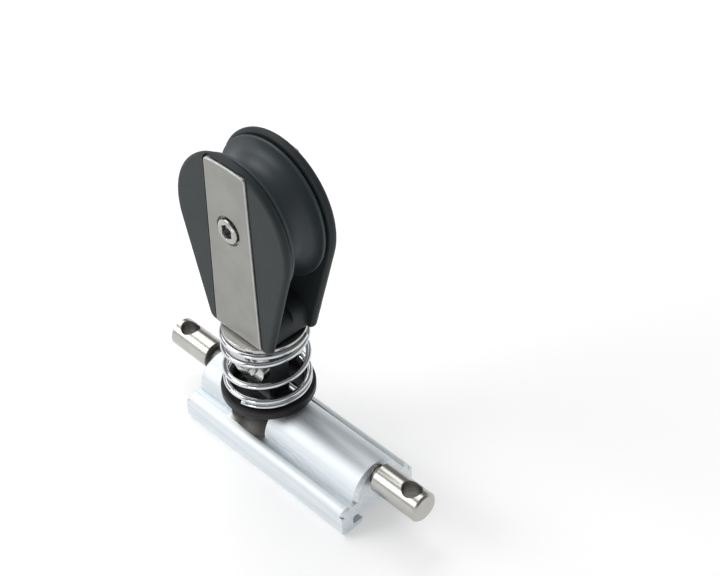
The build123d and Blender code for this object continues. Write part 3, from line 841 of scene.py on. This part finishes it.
def add_floor(colour):
    """Pale floor that reads white where it is lit, also in metal, and keeps the car's shadow."""
    signs = np.array([(-1, -1), (1, -1), (1, 1), (-1, 1)])
    corners = np.column_stack([signs * FLOOR_HALF, np.full(len(signs), -FLOOR_DROP)])
    mesh = bpy.data.meshes.new("floor")
    mesh.from_pydata(corners.tolist(), [], [(0, 1, 2, 3)])
    floor = bpy.data.objects.new("floor", mesh)
    bpy.context.scene.collection.objects.link(floor)
    material = bpy.data.materials.new("pale floor")
    material.use_nodes = True
    nodes, links = material.node_tree.nodes, material.node_tree.links
    shader = nodes["Principled BSDF"]
    shader.inputs["Base Color"].default_value = (*colour, 1.0)
    shader.inputs["Roughness"].default_value = FLOOR_ROUGHNESS
    shader.inputs["Specular IOR Level"].default_value = 0.0
    glow = nodes.new("ShaderNodeEmission")
    glow.inputs["Color"].default_value = (1.0, 1.0, 1.0, 1.0)
    seen = seen_by(nodes, links, "Is Camera Ray", "Is Glossy Ray", "Is Transmission Ray")
    strength = calculate(nodes, links, "MULTIPLY", seen, FLOOR_GLOW)
    links.new(strength, glow.inputs["Strength"])
    both = nodes.new("ShaderNodeAddShader")
    links.new(shader.outputs["BSDF"], both.inputs[0])
    links.new(glow.outputs["Emission"], both.inputs[1])
    links.new(both.outputs["Shader"], nodes["Material Output"].inputs["Surface"])
    mesh.materials.append(material)


def add_world(scene):
    """Studio round the car: white behind it, and a room that darkens overhead, as metal shows it.

    As light on a surface it is plain and even."""
    world = bpy.data.worlds.new("studio")
    world.use_nodes = True
    nodes, links = world.node_tree.nodes, world.node_tree.links
    place = nodes.new("ShaderNodeTexCoord")
    split = nodes.new("ShaderNodeSeparateXYZ")
    links.new(place.outputs["Generated"], split.inputs["Vector"])
    room = nodes.new("ShaderNodeMapRange")
    room.interpolation_type = "SMOOTHSTEP"
    room.inputs["From Min"].default_value = WALL_TOP
    room.inputs["From Max"].default_value = CEILING
    room.inputs["To Min"].default_value = 1.0
    room.inputs["To Max"].default_value = CEILING_LIGHT
    links.new(split.outputs["Z"], room.inputs["Value"])
    reflected = nodes.new("ShaderNodeMapRange")
    reflected.inputs["To Min"].default_value = AMBIENT_LIGHT
    mirrored = seen_by(nodes, links, "Is Glossy Ray", "Is Transmission Ray")
    links.new(mirrored, reflected.inputs["Value"])
    links.new(room.outputs["Result"], reflected.inputs["To Max"])
    strength = nodes.new("ShaderNodeMapRange")
    strength.inputs["To Max"].default_value = 1.0
    links.new(seen_by(nodes, links, "Is Camera Ray"), strength.inputs["Value"])
    links.new(reflected.outputs["Result"], strength.inputs["To Min"])
    background = nodes["Background"]
    background.inputs["Color"].default_value = (1.0, 1.0, 1.0, 1.0)
    links.new(strength.outputs["Result"], background.inputs["Strength"])
    scene.world = world


def soft_box(name, place, size, power):
    """Square area lamp at a place, turned to the aim that all lamps share."""
    lamp = bpy.data.lights.new(name, "AREA")
    lamp.size = size
    lamp.energy = power
    light = bpy.data.objects.new(name, lamp)
    light.location = place
    towards = Vector(LAMP_AIM) - Vector(place)
    light.rotation_euler = towards.to_track_quat("-Z", "Y").to_euler()
    bpy.context.scene.collection.objects.link(light)


class GENOACAR_PT_panel(bpy.types.Panel):
    bl_label = "Genoa Car"
    bl_space_type = "VIEW_3D"
    bl_region_type = "UI"
    bl_category = "Genoa Car"

    def draw(self, context):
        for operator, group in STEPS:
            box = self.layout.box()
            box.operator(operator.bl_idname)
            settings = getattr(context.scene, group)
            for name in settings.__annotations__:
                box.prop(settings, name)


GROUPS = {
    "genoa_spring": SpringSettings,
    "genoa_sheave": SheaveSettings,
    "genoa_screws": ScrewSettings,
    "genoa_finish": FinishSettings,
    "genoa_stage": StageSettings,
}
STEPS = (
    (GENOACAR_OT_spring, "genoa_spring"),
    (GENOACAR_OT_sheave, "genoa_sheave"),
    (GENOACAR_OT_screws, "genoa_screws"),
    (GENOACAR_OT_finishes, "genoa_finish"),
    (GENOACAR_OT_stage, "genoa_stage"),
)
CLASSES = (*GROUPS.values(), *(operator for operator, group in STEPS), GENOACAR_PT_panel)


def register():
    for cls in CLASSES:
        bpy.utils.register_class(cls)
    for name, group in GROUPS.items():
        setattr(bpy.types.Scene, name, bpy.props.PointerProperty(type=group))


def unregister():
    for name in GROUPS:
        delattr(bpy.types.Scene, name)
    for cls in reversed(CLASSES):
        bpy.utils.unregister_class(cls)


def main():
    register()
    bpy.ops.genoa_car.spring()
    bpy.ops.genoa_car.sheave()
    bpy.ops.genoa_car.screws()
    bpy.ops.genoa_car.finishes()
    bpy.ops.genoa_car.stage()


if __name__ == "__main__":
    main()
